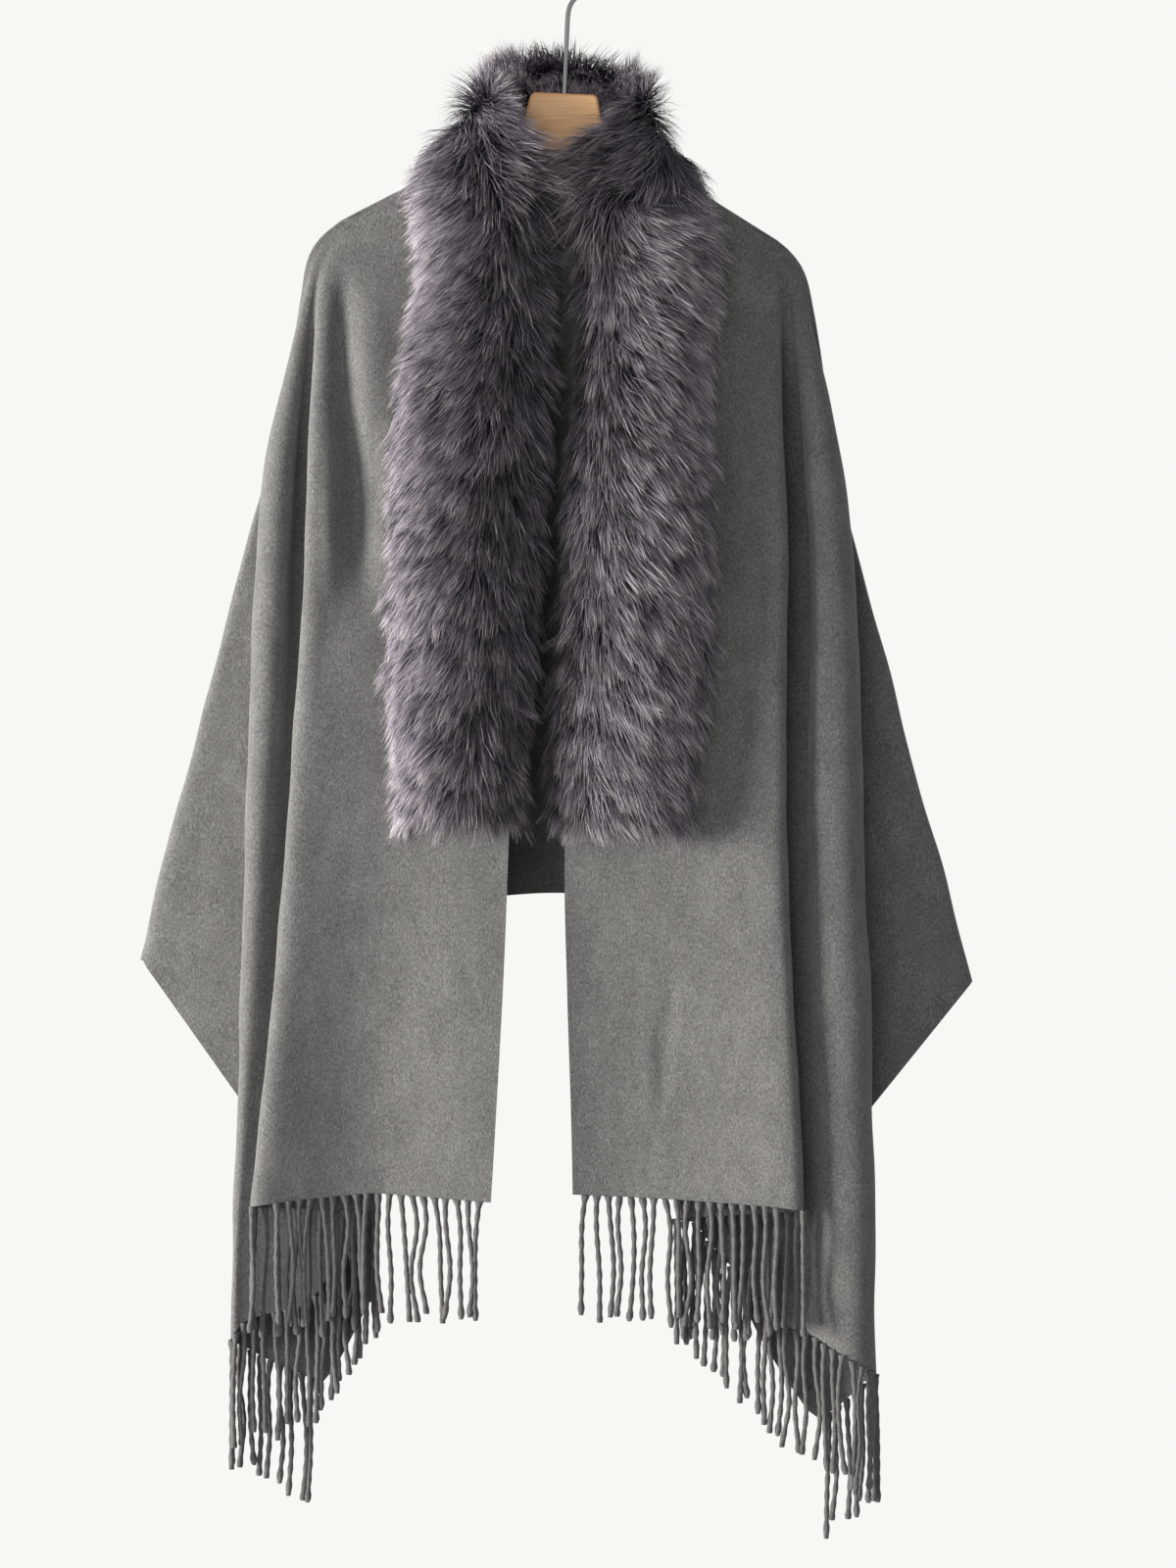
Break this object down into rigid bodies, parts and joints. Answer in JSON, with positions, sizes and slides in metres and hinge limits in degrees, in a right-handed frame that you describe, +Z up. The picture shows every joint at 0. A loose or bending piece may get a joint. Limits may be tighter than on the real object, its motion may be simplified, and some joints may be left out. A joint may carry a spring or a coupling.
{
  "type": "faux fur trimmed scarf shawl on clothes hanger",
  "caption": "Long grey wool wrap with twisted fringe at both ends and a faux fur collar along its front edge, hanging open on a flat wooden clothes hanger with a thin steel hook.",
  "frame": {"origin": "inside top of the hanger's hook, where a rail carries it", "axes": "+Z up, +X to the right as seen from the front, -Y towards the front, where the fur hangs"},
  "size_m": [0.742, 0.1814, 1.4091],
  "materials": {
    "grey_wool": "soft brushed melange wool cloth, mid grey",
    "wool_fringe": "twisted wool yarn, mid grey",
    "faux_fur": "long soft faux fur, dark violet-grey roots and taupe tips",
    "beech": "pale beech, satin varnish",
    "steel_wire": "bright drawn wire"
  },
  "bodies": {
    "root": {"shawl_back": "grey_wool", "shawl_front_left": "grey_wool", "shawl_front_right": "grey_wool", "shawl_side_left": "grey_wool", "shawl_side_right": "grey_wool", "shawl_wing_left": "grey_wool", "shawl_wing_right": "grey_wool", "fringe_front_left": "wool_fringe", "fringe_front_right": "wool_fringe", "fringe_side_left": "wool_fringe", "fringe_side_right": "wool_fringe", "fur_left": "faux_fur", "fur_right": "faux_fur", "fur_neck": "faux_fur", "hanger_wood": "beech", "hanger_hook": "steel_wire"}
  },
  "joints": []
}
